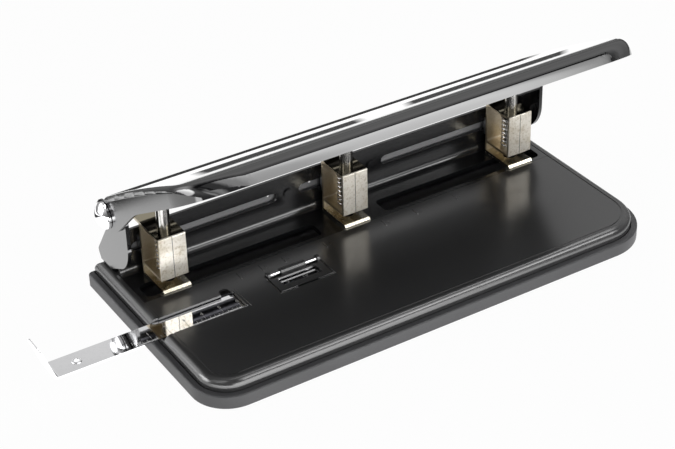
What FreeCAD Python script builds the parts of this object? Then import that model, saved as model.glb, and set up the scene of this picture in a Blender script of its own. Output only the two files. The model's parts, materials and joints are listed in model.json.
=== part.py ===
"""Desk three-hole punch with a full-width lever, sliding punch heads and a paper guide.

Units are millimetres. +X runs along the length to the right, +Y to the back, +Z up.
The origin is on the table, under the middle of the tray. The lever is raised.
"""
import FreeCAD, Part
import math
import os

V = FreeCAD.Vector

# ---- tray that closes the base from below and catches the chips
TRAY_DEPTH = 134.1
TRAY_HEIGHT = 7.2
TRAY_FLOOR = 2.0
TRAY_LIP = 3.2
TRAY_REAR_LIP = 1.2
TRAY_GAP = 0.4
TRAY_LEFT_RADIUS = 20.0
TRAY_RIGHT_RADIUS = 28.0
TRAY_REAR_RADIUS = 2.5
TRAY_LEAST_RADIUS = 0.6
TRAY_EDGE_ROUND = 1.0

# ---- pressed steel base plate
PLATE_TOP = 13.4
PLATE_SHEET = 1.2
PLATE_SHOULDER = 4.0
PLATE_END = 3.3
BEAD_INSET = 5.0
BEAD_WIDTH = 0.7
BEAD_DEPTH = 0.3

# ---- rail: floor under the punches and slotted wall behind them
RAIL_SHEET = 1.5
RAIL_BEND = 4.0
RAIL_UNDERLAP = 5.0
RAIL_SIDE_UNDERLAP = 1.5
RAIL_GAP = 0.15
WALL_FRONT = 45.45
WALL_TOP = 39.2
FLOOR_SLOT_WIDTH = 12.3
FLOOR_SLOT_SHIFT = -1.8
FLOOR_SLOT_INNER = 19.9
FLOOR_SLOT_END = 3.1
FLOOR_SLOT_CORNER = 3.0
CENTRE_HOLE_RADIUS = 4.6
WALL_SLOT_HEIGHT = 5.4
WALL_SLOT_MIDDLE = 28.3
WALL_SLOT_INNER = 33.0
WALL_SLOT_SPARE = 6.55
CENTRE_SLOT_HALF = 19.5

# ---- index strip behind the wall, with its rivets
STRIP_SHEET = 1.0
STRIP_HEIGHT = 12.0
STRIP_OVERHANG = 7.0
STRIP_HOLES = (-36.3, -16.5, -10.5, 10.5, 36.3)
STRIP_HOLE_RADIUS = 0.9
RIVET_RADIUS = 1.6
RIVET_COLLAR = 2.6
RIVET_HEAD = 0.9
RIVET_INNER_X = 26.2
RIVET_OUTER_GAP = 3.3
PIN_PLAY = 0.02

# ---- punching line and the three heads
HOLE_PITCH = 107.95
PUNCH_Y = 28.45
PUNCH_RADIUS = 3.57
RUNNING_FIT = 0.06
HEAD_WIDTH = 15.05
HEAD_SHEET = 1.4
HEAD_REACH = 8.8
HEAD_BACK_GAP = 4.1
HEAD_HEIGHT = 25.1
HEAD_TAIL = 6.3
HEAD_BEND = 0.8
SCRIBE_WIDTH = 0.4
SCRIBE_DEPTH = 0.15
THROAT = 4.7
DIE_SHEET = 1.9
DIE_WIDTH = 15.5
DIE_NOSE = 1.8
DIE_CHAMFER = 1.1
PIN_ABOVE_THROAT = 0.3
PIN_DOME = 5.0
PIN_HOLLOW_RADIUS = 7.14
PIN_HOLLOW_DROP = 6.43
CLIP_SHEET = 1.0
CLIP_RADIUS = 5.6
CLIP_GROOVE = 0.65
CLIP_MOUTH = 0.9
CLIP_BELOW_TOP = 3.2
SPRING_WIRE = 1.0
SPRING_MEAN_RADIUS = 4.9
SPRING_TURNS = 7
SPRING_SEAT = 0.05
BLOCK_NECK = 9.0
BLOCK_PLAY = 0.2
BLOCK_FLANGE = 12.0
BLOCK_FLANGE_HEIGHT = 10.0
BLOCK_FLANGE_SHEET = 1.2
SLIDE_GAP = 0.3

# ---- side brackets
BRACKET_ROOM = 11.425
BRACKET_SHEET = 2.0
BRACKET_FRONT = 27.45
BRACKET_REAR = 65.0
BRACKET_FOOT_BEND = 3.2
BRACKET_FOOT_WIDTH = 13.0
BRACKET_FOOT_FRONT = 50.4
BRACKET_FOOT_REAR = 62.6
BRACKET_BOSS = 6.8
BRACKET_FRONT_ROUND = 19.0
BRACKET_CHEEK_RISE = 12.0
BRACKET_CREST_FRONT = 4.0
BRACKET_CREST = 6.5
BRACKET_NAPE = 6.4
BRACKET_WAIST = 4.6
BRACKET_WAIST_DROP = 10.0
BRACKET_HEEL_RISE = 4.5
SCREW_RADIUS = 1.9
SCREW_HEAD_RADIUS = 3.4
SCREW_HEAD_HEIGHT = 1.8
SCREW_INSET = 3.8
SCREW_TAIL = 1.6
SCREW_ROUND = 1.08
SCREW_CROSS_REACH = 2.04
SCREW_CROSS_WIDTH = 0.8
SCREW_CROSS_DEPTH = 0.9

# ---- pivot
PIVOT_Y = 45.45
PIVOT_Z = 52.3
ROD_RADIUS = 3.175
ROD_END = 2.6
HINGE_FIT = 0.05
CAP_RADIUS = 7.2
CAP_SHEET = 1.4
CAP_DOME = 3.6
CAP_GAP = 0.3

# ---- lever: lengths run forward from the pivot, heights up from it, lever level
LEVER_TILT = 27.6
LEVER_SHEET = 1.4
LEVER_GAP = 0.5
LEVER_REACH = 118.6
LEVER_REAR = 1.8
LEVER_CORNER = 32.0
LEVER_EDGE = 3.0
LEVER_EDGE_FRONT = 16.0
LEVER_REAR_HEIGHT = 8.9
LEVER_CREST_BACK = 22.6
LEVER_CREST_HEIGHT = 13.3
LEVER_LOBE = 9.6
LEVER_LOBE_BOTTOM = -9.0
LEVER_NECK_START = 9.5
LEVER_NECK_END = 40.0
LEVER_NECK_HEIGHT = 0.0
LEVER_LIP_HEIGHT = 5.5
LEVER_LOBE_ROUND = 8.0
LEVER_LOBE_SHOULDER = 3.4
LEVER_LOBE_TOP = 8.5
LEVER_SKIRT = 21.0
LEVER_NECK_ROUND = 40.0
LEVER_REAR_WALL = 4.8
LEVER_REAR_WALL_END = 5.8
LEVER_TRAVEL = 26.0
LEVER_PIN_GAP = 0.12
OVERCUT = 30.0

# ---- paper guide, its track and its windows in the plate
GUIDE_WIDTH = 13.7
GUIDE_SHEET = 1.1
GUIDE_MIDDLE = -4.7
GUIDE_DROP = 0.5
GUIDE_LEFT = -189.3
GUIDE_RIGHT = -30.0
GUIDE_TAB = 18.5
GUIDE_TAB_LEAN = 6.6
GUIDE_TAB_ROUND = 3.0
GUIDE_BEND = 1.6
GUIDE_EYE_X = -174.9
GUIDE_EYE_RADIUS = 1.3
GUIDE_PLAY = 0.3
GUIDE_EDGE_ROUND = 0.3
TRACK_SHEET = 1.0
TRACK_LEFT = -128.0
TRACK_RIGHT = 26.0
TRACK_RELIEF = 0.6
RECESS_FRONT = -13.0
RECESS_REAR = 2.0
RECESS_RIGHT = -85.5
THUMB_LEFT = -92.0
THUMB_RIGHT = -86.6
THUMB_DEPTH = 4.2
WINDOW_LEFT = -65.6
WINDOW_RIGHT = -34.0
WINDOW_FRONT = -13.7
WINDOW_REAR = 4.9
WINDOW_ROUND = 1.0

# ---- lock flap over the guide, hinged on a pin that a knuckle of the plate holds
HINGE_Y = 2.3
HINGE_RISE = 0.65
HINGE_PIN_RADIUS = 1.0
HINGE_SHEET = 1.0
KNUCKLE_LEFT = -57.5
KNUCKLE_RIGHT = -43.0
LOCK_SIDE_GAP = 0.4
LOCK_SHEET = 0.9
LOCK_FRONT_GAP = 0.5
LOCK_EAR = 1.5
LOCK_PAD_GAP = 0.3
LOCK_SIGHT_SIDE = 4.0
LOCK_SIGHT_FRONT = -8.4
LOCK_SIGHT_REAR = -1.4
LOCK_SIGHT_ROUND = 0.6
LOCK_PAD_DEPTH = 3.0
LOCK_NOTCH = 12.0
LOCK_NOTCH_DEPTH = 1.2

# ---- places that follow from the sizes above
HEAD_PLACES = {"left": -HOLE_PITCH, "centre": 0.0, "right": HOLE_PITCH}
BRACKET_INNER = HOLE_PITCH + HEAD_WIDTH / 2 + BRACKET_ROOM
BRACKET_OUTER = BRACKET_INNER + BRACKET_SHEET
WALL_HALF = BRACKET_INNER - SLIDE_GAP
WALL_SLOT_OUTER = HOLE_PITCH + BLOCK_NECK / 2 + WALL_SLOT_SPARE
FLOOR_SLOT_OUTER = WALL_HALF - FLOOR_SLOT_END
RIVET_OUTER_X = WALL_SLOT_OUTER + RIVET_OUTER_GAP
HALF_DEPTH = TRAY_DEPTH / 2
PLATE_INSET = TRAY_LIP + TRAY_GAP
PLATE_REAR_INSET = TRAY_REAR_LIP + TRAY_GAP
PLATE_HALF = BRACKET_OUTER + PLATE_END
HALF_LENGTH = PLATE_HALF + PLATE_INSET
PLATE_UNDERSIDE = PLATE_TOP - PLATE_SHEET
RAIL_TOP = PLATE_TOP
RAIL_BOTTOM = RAIL_TOP - RAIL_SHEET
WALL_BACK = WALL_FRONT + RAIL_SHEET
DIE_TOP = RAIL_TOP + DIE_SHEET
HEAD_BOTTOM = DIE_TOP + THROAT
HEAD_TOP = HEAD_BOTTOM + HEAD_HEIGHT
HEAD_FRONT = PUNCH_Y - HEAD_REACH
DIE_FRONT = HEAD_FRONT - DIE_NOSE
TROUGH_FRONT = DIE_FRONT - RAIL_GAP
TROUGH_HALF = WALL_HALF + RAIL_GAP
TROUGH_REAR = WALL_BACK + RAIL_GAP
HEAD_BACK = WALL_FRONT - HEAD_BACK_GAP
FLOOR_SLOT_Y = PUNCH_Y + FLOOR_SLOT_SHIFT
FLANGE_FRONT = WALL_BACK + SLIDE_GAP
STRIP_FRONT = FLANGE_FRONT + BLOCK_FLANGE_SHEET + SLIDE_GAP
LEVER_HALF = BRACKET_OUTER + LEVER_GAP + LEVER_SHEET
LEVER_REAR_WALL_HALF = LEVER_HALF - LEVER_REAR_WALL_END
LEVER_CREST_AT = LEVER_REACH - LEVER_CREST_BACK
LEVER_RISE = LEVER_CREST_HEIGHT - LEVER_REAR_HEIGHT
LEVER_LIP_DROP = LEVER_CREST_HEIGHT - LEVER_LIP_HEIGHT
LEVER_ROLL_SPAN = math.sqrt(LEVER_EDGE_FRONT ** 2 - (LEVER_EDGE_FRONT - LEVER_LIP_DROP) ** 2)
LEVER_FRONT = LEVER_REACH + LEVER_EDGE_FRONT - LEVER_ROLL_SPAN
LEVER_CROWN_RADIUS = ((LEVER_CREST_AT - LEVER_REAR) ** 2 + LEVER_RISE ** 2) / (2 * LEVER_RISE)
LEVER_CROWN_CENTRE = LEVER_CREST_HEIGHT - LEVER_CROWN_RADIUS
PUNCH_ARM = PIVOT_Y - PUNCH_Y
GUIDE_TOP = PLATE_UNDERSIDE - GUIDE_DROP
GUIDE_BOTTOM = GUIDE_TOP - GUIDE_SHEET
GUIDE_REAR = GUIDE_MIDDLE + GUIDE_WIDTH / 2
HINGE_Z = PLATE_TOP + HINGE_RISE
KNUCKLE_RADIUS = HINGE_PIN_RADIUS + PIN_PLAY + HINGE_SHEET
LOCK_LEFT = WINDOW_LEFT + LOCK_SIDE_GAP
LOCK_RIGHT = WINDOW_RIGHT - LOCK_SIDE_GAP
LOCK_FRONT = WINDOW_FRONT + LOCK_FRONT_GAP
SIDES = {"left": -1, "right": 1}


# ---- shape helpers

def box(x0, x1, y0, y1, z0, z1):
    """Box between two corners."""
    return Part.makeBox(x1 - x0, y1 - y0, z1 - z0, V(x0, y0, z0))


def rod(radius, start, end):
    """Cylinder from one point to another."""
    along = end - start
    return Part.makeCylinder(radius, along.Length, start, along)


def flat(a, b):
    """Point of a plan outline."""
    return V(a, b, 0)


def upright(a, b):
    """Point of a side outline, in the YZ plane."""
    return V(0, a, b)


def facing(a, b):
    """Point of a front outline, in the XZ plane."""
    return V(a, 0, b)


def outline(corners, place=flat):
    """Face inside a polygon whose corners are (a, b, radius)."""
    points = [V(a, b, 0) for a, b, r in corners]
    stops = []
    for i, (a, b, r) in enumerate(corners):
        here = points[i]
        back = (points[i - 1] - here).normalize()
        ahead = (points[(i + 1) % len(points)] - here).normalize()
        if r <= 0:
            stops.append((here, None, here))
            continue
        half = back.getAngle(ahead) / 2
        middle = (back + ahead).normalize()
        reach = r / math.tan(half)
        deep = r / math.sin(half) - r
        stops.append((here + back * reach, here + middle * deep, here + ahead * reach))
    edges = []
    for i, (start, middle, end) in enumerate(stops):
        if middle is not None:
            arc = [place(p.x, p.y) for p in (start, middle, end)]
            edges.append(Part.Arc(*arc).toShape())
        following = stops[(i + 1) % len(stops)][0]
        if (following - end).Length > 1e-6:
            edges.append(Part.LineSegment(place(end.x, end.y), place(following.x, following.y)).toShape())
    return Part.Face(Part.Wire(edges))


def slab(face, z0, z1):
    """Plan outline drawn up from one height to another."""
    return face.translated(V(0, 0, z0)).extrude(V(0, 0, z1 - z0))


def across(face, x0, x1):
    """Side outline drawn along X from one place to another."""
    return face.translated(V(x0, 0, 0)).extrude(V(x1 - x0, 0, 0))


def slot(x0, x1, y, width, z0, z1, corner=None):
    """Slot along X, cut downwards, with full or smaller end rounding."""
    w = width / 2
    r = w if corner is None else corner
    return slab(outline([(x0, y - w, r), (x1, y - w, r), (x1, y + w, r), (x0, y + w, r)]), z0, z1)


def wall_slot(x0, x1, z, height, y0, y1):
    """Round-ended slot along X, cut through a wall."""
    return slot(x0, x1, -z, height, y0, y1).rotated(V(0, 0, 0), V(1, 0, 0), -90)


def ring_edges(solid, z):
    """Edges of a solid that lie at one height."""
    found = []
    for edge in solid.Edges:
        box_of_edge = edge.BoundBox
        if abs(box_of_edge.ZMin - z) < 1e-4 and abs(box_of_edge.ZMax - z) < 1e-4:
            found.append(edge)
    return found


def save(name, shape):
    """Write one node."""
    if not shape.isValid():
        raise ValueError(name + " is not a valid shape")
    shape.exportStep("parts/" + name + ".step")


# ---- base

def tray_plan(inset, rear_inset):
    """Outline of the tray, moved inwards."""
    x = HALF_LENGTH - inset
    front = -HALF_DEPTH + inset
    rear = HALF_DEPTH - rear_inset
    back_radius = max(TRAY_REAR_RADIUS - inset, TRAY_LEAST_RADIUS)
    return outline([
        (-x, front, TRAY_LEFT_RADIUS - inset),
        (x, front, TRAY_RIGHT_RADIUS - inset),
        (x, rear, back_radius),
        (-x, rear, back_radius),
    ])


def base_tray():
    """Shallow pan with an upstanding lip round the plate."""
    block = slab(tray_plan(0, 0), 0, TRAY_HEIGHT)
    block = block.makeFillet(TRAY_EDGE_ROUND, ring_edges(block, TRAY_HEIGHT))
    pocket = slab(tray_plan(TRAY_LIP, TRAY_REAR_LIP), TRAY_FLOOR, TRAY_HEIGHT + 1)
    return block.cut(pocket)


def plate_plan(inset):
    """Outline of the base plate, moved inwards."""
    return tray_plan(PLATE_INSET + inset, PLATE_REAR_INSET + inset)


def plate_block(inset):
    """Solid block inside the plate's skin, with its round shoulder."""
    top = PLATE_TOP - inset
    block = slab(plate_plan(inset), TRAY_FLOOR - inset, top)
    return block.makeFillet(PLATE_SHOULDER - inset, ring_edges(block, top))


def bead():
    """Fine groove that runs round just inside the shoulder."""
    z0 = PLATE_TOP - BEAD_DEPTH
    ring = slab(plate_plan(BEAD_INSET), z0, PLATE_TOP + 1)
    return ring.cut(slab(plate_plan(BEAD_INSET + BEAD_WIDTH), z0 - 1, PLATE_TOP + 2))


def guide_recess():
    """Opening over the paper guide, with a thumb notch and the way out to the left."""
    low = GUIDE_BOTTOM - GUIDE_PLAY
    way_out = box(-PLATE_HALF - 1, -PLATE_HALF + PLATE_SHOULDER + 1, RECESS_FRONT,
                  GUIDE_REAR + GUIDE_PLAY, low, PLATE_TOP + 1)
    opening = slab(outline([
        (-PLATE_HALF - 1, RECESS_FRONT, 0),
        (RECESS_RIGHT, RECESS_FRONT, WINDOW_ROUND),
        (RECESS_RIGHT, RECESS_REAR, WINDOW_ROUND),
        (-PLATE_HALF - 1, RECESS_REAR, 0),
    ]), low, PLATE_TOP + 1)
    r = (THUMB_RIGHT - THUMB_LEFT) / 2 - PIN_PLAY
    thumb = slab(outline([
        (THUMB_LEFT, RECESS_REAR - 2, 0),
        (THUMB_RIGHT, RECESS_REAR - 2, 0),
        (THUMB_RIGHT, RECESS_REAR + THUMB_DEPTH, r),
        (THUMB_LEFT, RECESS_REAR + THUMB_DEPTH, r),
    ]), low, PLATE_TOP + 1)
    return way_out.fuse([opening, thumb])


def index_window():
    """Opening in the plate through which the inner end of the guide is read."""
    r = WINDOW_ROUND
    return slab(outline([
        (WINDOW_LEFT, WINDOW_FRONT, r),
        (WINDOW_RIGHT, WINDOW_FRONT, r),
        (WINDOW_RIGHT, WINDOW_REAR, r),
        (WINDOW_LEFT, WINDOW_REAR, r),
    ]), PLATE_UNDERSIDE - 1, PLATE_TOP + 1)


def knuckle(x0, x1):
    """Ring round the lock's hinge pin."""
    ring = rod(KNUCKLE_RADIUS, V(x0, HINGE_Y, HINGE_Z), V(x1, HINGE_Y, HINGE_Z))
    bore = rod(HINGE_PIN_RADIUS + PIN_PLAY, V(x0 - 1, HINGE_Y, HINGE_Z), V(x1 + 1, HINGE_Y, HINGE_Z))
    return ring.cut(bore)


def plate_knuckle():
    """Tongue of the plate that is rolled round the hinge pin."""
    root = box(KNUCKLE_LEFT, KNUCKLE_RIGHT, HINGE_Y, WINDOW_REAR + 0.5, PLATE_UNDERSIDE, PLATE_TOP)
    bore = rod(HINGE_PIN_RADIUS + PIN_PLAY, V(KNUCKLE_LEFT - 1, HINGE_Y, HINGE_Z),
               V(KNUCKLE_RIGHT + 1, HINGE_Y, HINGE_Z))
    return knuckle(KNUCKLE_LEFT, KNUCKLE_RIGHT).fuse(root.cut(bore))


def screw_places(side):
    """Points where the bracket's screws stand on the plate."""
    x = side * (BRACKET_INNER - BRACKET_FOOT_WIDTH / 2)
    return [V(x, y, PLATE_TOP) for y in (BRACKET_FOOT_FRONT + SCREW_INSET, BRACKET_FOOT_REAR - SCREW_INSET)]


def base_plate():
    """Pressed plate: skin, groove, windows, trough opening and screw holes."""
    skin = plate_block(0).cut(plate_block(PLATE_SHEET))
    trough = box(-TROUGH_HALF, TROUGH_HALF, TROUGH_FRONT, TROUGH_REAR, PLATE_UNDERSIDE - 2, PLATE_TOP + 1)
    cuts = [bead(), trough, guide_recess(), index_window()]
    for side in SIDES.values():
        for point in screw_places(side):
            cuts.append(rod(SCREW_RADIUS + PIN_PLAY, point - V(0, 0, 3), point + V(0, 0, 1)))
    return skin.cut(cuts).fuse(plate_knuckle()).removeSplitter()


# ---- rail and index strip

def rail_body():
    """Floor and wall, with the joggled lip that lies under the plate."""
    profile = outline([
        (DIE_FRONT, RAIL_TOP, 0),
        (DIE_FRONT, RAIL_BOTTOM, 0),
        (WALL_BACK, RAIL_BOTTOM, RAIL_BEND + RAIL_SHEET),
        (WALL_BACK, WALL_TOP, 0),
        (WALL_FRONT, WALL_TOP, 0),
        (WALL_FRONT, RAIL_TOP, RAIL_BEND),
    ], upright)
    half = WALL_HALF + RAIL_SIDE_UNDERLAP
    lip = box(-half, half, DIE_FRONT - RAIL_UNDERLAP, WALL_FRONT - RAIL_BEND,
              PLATE_UNDERSIDE - RAIL_SHEET, PLATE_UNDERSIDE)
    return across(profile, -WALL_HALF, WALL_HALF).fuse(lip)


def punch_rail():
    """Floor and wall bent from one strip, with slots for the chips and the heads."""
    z0 = PLATE_UNDERSIDE - RAIL_SHEET - 1
    cuts = []
    for s in SIDES.values():
        x = sorted((s * FLOOR_SLOT_INNER, s * FLOOR_SLOT_OUTER))
        cuts.append(slot(x[0], x[1], FLOOR_SLOT_Y, FLOOR_SLOT_WIDTH, z0, RAIL_TOP + 1, FLOOR_SLOT_CORNER))
        x = sorted((s * WALL_SLOT_INNER, s * WALL_SLOT_OUTER))
        cuts.append(wall_slot(x[0], x[1], WALL_SLOT_MIDDLE, WALL_SLOT_HEIGHT, WALL_FRONT - 1, WALL_BACK + 1))
    cuts.append(wall_slot(-CENTRE_SLOT_HALF, CENTRE_SLOT_HALF, WALL_SLOT_MIDDLE, WALL_SLOT_HEIGHT,
                          WALL_FRONT - 1, WALL_BACK + 1))
    cuts.append(rod(CENTRE_HOLE_RADIUS, V(0, PUNCH_Y, z0), V(0, PUNCH_Y, RAIL_TOP + 1)))
    for x in rivet_places():
        cuts.append(rod(RIVET_RADIUS + PIN_PLAY, V(x, WALL_FRONT - 1, WALL_SLOT_MIDDLE),
                        V(x, WALL_BACK + 1, WALL_SLOT_MIDDLE)))
    return rail_body().cut(cuts).removeSplitter()


def rivet_places():
    """Places of the rivets along the wall."""
    return [-RIVET_OUTER_X, -RIVET_INNER_X, RIVET_INNER_X, RIVET_OUTER_X]


def index_strip():
    """Strip behind the wall slots, with its index holes."""
    half = WALL_SLOT_OUTER + STRIP_OVERHANG
    low = WALL_SLOT_MIDDLE - STRIP_HEIGHT / 2
    strip = box(-half, half, STRIP_FRONT, STRIP_FRONT + STRIP_SHEET, low, low + STRIP_HEIGHT)
    holes = []
    for x in rivet_places():
        holes.append((x, RIVET_RADIUS + PIN_PLAY))
    for x in STRIP_HOLES:
        holes.append((x, STRIP_HOLE_RADIUS))
    cuts = [rod(r, V(x, STRIP_FRONT - 1, WALL_SLOT_MIDDLE),
                V(x, STRIP_FRONT + STRIP_SHEET + 1, WALL_SLOT_MIDDLE)) for x, r in holes]
    return strip.cut(cuts)


def strip_rivets():
    """Shouldered rivets that hold the strip clear of the wall."""
    rivets = []
    back = STRIP_FRONT + STRIP_SHEET
    for x in rivet_places():
        def at(y):
            return V(x, y, WALL_SLOT_MIDDLE)
        shank = rod(RIVET_RADIUS, at(WALL_FRONT - RIVET_HEAD), at(back + RIVET_HEAD))
        collar = rod(RIVET_COLLAR, at(WALL_BACK), at(STRIP_FRONT))
        front = rod(RIVET_COLLAR, at(WALL_FRONT - RIVET_HEAD), at(WALL_FRONT))
        rear = rod(RIVET_COLLAR, at(back), at(back + RIVET_HEAD))
        rivets.append(shank.fuse([collar, front, rear]).removeSplitter())
    return Part.makeCompound(rivets)


# ---- punch heads

def head_bracket(x):
    """Box bent from strip, open at both sides; a leg stands on the die, a tail reaches over the wall."""
    half = HEAD_WIDTH / 2
    outer = outline([
        (HEAD_FRONT, HEAD_BOTTOM, HEAD_BEND),
        (HEAD_BACK, HEAD_BOTTOM, 0),
        (HEAD_BACK, HEAD_TOP, HEAD_BEND + HEAD_SHEET),
        (HEAD_FRONT, HEAD_TOP, HEAD_BEND),
    ], upright)
    inner = outline([
        (HEAD_FRONT + HEAD_SHEET, HEAD_BOTTOM + HEAD_SHEET, HEAD_BEND),
        (HEAD_BACK - HEAD_SHEET, HEAD_BOTTOM + HEAD_SHEET, HEAD_BEND),
        (HEAD_BACK - HEAD_SHEET, HEAD_TOP - HEAD_SHEET, HEAD_BEND),
        (HEAD_FRONT + HEAD_SHEET, HEAD_TOP - HEAD_SHEET, HEAD_BEND),
    ], upright)
    shell = across(outer, x - half, x + half).cut(across(inner, x - half - 1, x + half + 1))
    leg = box(x - half, x + half, HEAD_BACK - HEAD_SHEET, HEAD_BACK, DIE_TOP, HEAD_BOTTOM + HEAD_SHEET)
    tail = box(x - half, x + half, HEAD_BACK - HEAD_SHEET - HEAD_BEND, HEAD_BACK + HEAD_TAIL,
               HEAD_TOP - HEAD_SHEET, HEAD_TOP)
    bore = rod(PUNCH_RADIUS + RUNNING_FIT, V(x, PUNCH_Y, HEAD_BOTTOM - 1), V(x, PUNCH_Y, HEAD_TOP + 1))
    scribe = box(x - SCRIBE_WIDTH / 2, x + SCRIBE_WIDTH / 2, HEAD_FRONT - 1, HEAD_FRONT + SCRIBE_DEPTH,
                 HEAD_BOTTOM - 1, HEAD_TOP + 1)
    return shell.fuse([leg, tail]).cut([bore, scribe]).removeSplitter()


def die_plate(x):
    """Hardened plate under the throat, with the cutting hole and a bevelled nose."""
    half = DIE_WIDTH / 2
    profile = outline([
        (DIE_FRONT, RAIL_TOP, 0),
        (HEAD_BACK, RAIL_TOP, 0),
        (HEAD_BACK, DIE_TOP, 0),
        (DIE_FRONT + DIE_CHAMFER, DIE_TOP, 0),
        (DIE_FRONT, DIE_TOP - DIE_CHAMFER, 0),
    ], upright)
    die = across(profile, x - half, x + half)
    return die.cut(rod(PUNCH_RADIUS + RUNNING_FIT, V(x, PUNCH_Y, RAIL_TOP - 1), V(x, PUNCH_Y, DIE_TOP + 1)))


def lever_underside(tilt):
    """Height of a punch's domed top when it touches the lever at that tilt."""
    turn = math.radians(tilt)
    ahead = LEVER_CREST_AT * math.cos(turn) - LEVER_CROWN_CENTRE * math.sin(turn)
    above = LEVER_CREST_AT * math.sin(turn) + LEVER_CROWN_CENTRE * math.cos(turn)
    reach = LEVER_CROWN_RADIUS - LEVER_SHEET - PIN_DOME
    return PIVOT_Z + above + math.sqrt(reach ** 2 - (ahead - PUNCH_ARM) ** 2) + PIN_DOME


def pin_top():
    """Rest height of the punch: the straight-line travel stays under the lever all the way."""
    lowered = LEVER_TILT - LEVER_TRAVEL
    ends = (lever_underside(LEVER_TILT) + lever_underside(lowered)) / 2
    rise = ends - lever_underside((LEVER_TILT + lowered) / 2)
    return lever_underside(LEVER_TILT) - rise - LEVER_PIN_GAP


def clip_height():
    """Underside of the retaining clip at rest."""
    return HEAD_TOP - HEAD_SHEET - CLIP_BELOW_TOP


def punch_pin(x):
    """Hardened punch with a domed top and a hollow-ground cutting end."""
    low = HEAD_BOTTOM + PIN_ABOVE_THROAT
    top = pin_top()
    body = rod(PUNCH_RADIUS, V(x, PUNCH_Y, low), V(x, PUNCH_Y, top))
    dome = Part.makeSphere(PIN_DOME, V(x, PUNCH_Y, top - PIN_DOME))
    straight = rod(PUNCH_RADIUS, V(x, PUNCH_Y, low), V(x, PUNCH_Y, top - PIN_DOME))
    body = body.common(dome.fuse(straight))
    z = clip_height()
    groove = rod(PUNCH_RADIUS + 1, V(x, PUNCH_Y, z), V(x, PUNCH_Y, z + CLIP_SHEET))
    core = rod(PUNCH_RADIUS - CLIP_GROOVE, V(x, PUNCH_Y, z - 1), V(x, PUNCH_Y, z + CLIP_SHEET + 1))
    hollow_z = low - PIN_HOLLOW_DROP
    half = CLIP_RADIUS
    hollow = rod(PIN_HOLLOW_RADIUS, V(x - half, PUNCH_Y, hollow_z), V(x + half, PUNCH_Y, hollow_z))
    return body.cut([groove.cut(core), hollow])


def pin_clip(x):
    """Open ring that sits in the punch's groove and takes the spring."""
    z = clip_height()
    ring = rod(CLIP_RADIUS, V(x, PUNCH_Y, z + PIN_PLAY), V(x, PUNCH_Y, z + CLIP_SHEET - PIN_PLAY))
    bore = PUNCH_RADIUS - CLIP_GROOVE + PIN_PLAY
    hole = rod(bore, V(x, PUNCH_Y, z - 1), V(x, PUNCH_Y, z + CLIP_SHEET + 1))
    gap = bore * CLIP_MOUTH
    mouth = box(x - gap, x + gap, PUNCH_Y, PUNCH_Y + CLIP_RADIUS + 1, z - 1, z + CLIP_SHEET + 1)
    return ring.cut([hole, mouth])


def pin_spring(x):
    """Coil spring between the box floor and the clip."""
    r = SPRING_WIRE / 2
    low = HEAD_BOTTOM + HEAD_SHEET + SPRING_SEAT + r
    high = clip_height() - SPRING_SEAT - r
    path = Part.makeLongHelix((high - low) / SPRING_TURNS, high - low, SPRING_MEAN_RADIUS)
    section = Part.Wire(Part.makeCircle(r, V(SPRING_MEAN_RADIUS, 0, 0), V(0, 1, 0)))
    coil = Part.Wire(path.Edges).makePipeShell([section], True, True)
    return coil.translated(V(x, PUNCH_Y, low))


def slide_block(x):
    """Block that carries the head through the wall slot and hooks behind the wall."""
    neck = WALL_SLOT_HEIGHT / 2 - BLOCK_PLAY
    tall = BLOCK_FLANGE_HEIGHT / 2
    through = box(x - BLOCK_NECK / 2, x + BLOCK_NECK / 2, HEAD_BACK, FLANGE_FRONT,
                  WALL_SLOT_MIDDLE - neck, WALL_SLOT_MIDDLE + neck)
    flange = box(x - BLOCK_FLANGE / 2, x + BLOCK_FLANGE / 2, FLANGE_FRONT, FLANGE_FRONT + BLOCK_FLANGE_SHEET,
                 WALL_SLOT_MIDDLE - tall, WALL_SLOT_MIDDLE + tall)
    pad = box(x - BLOCK_FLANGE / 2, x + BLOCK_FLANGE / 2, HEAD_BACK, WALL_FRONT - SLIDE_GAP,
              WALL_SLOT_MIDDLE - tall, WALL_SLOT_MIDDLE + tall)
    return through.fuse([flange, pad]).removeSplitter()


# ---- side brackets and pivot

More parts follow.
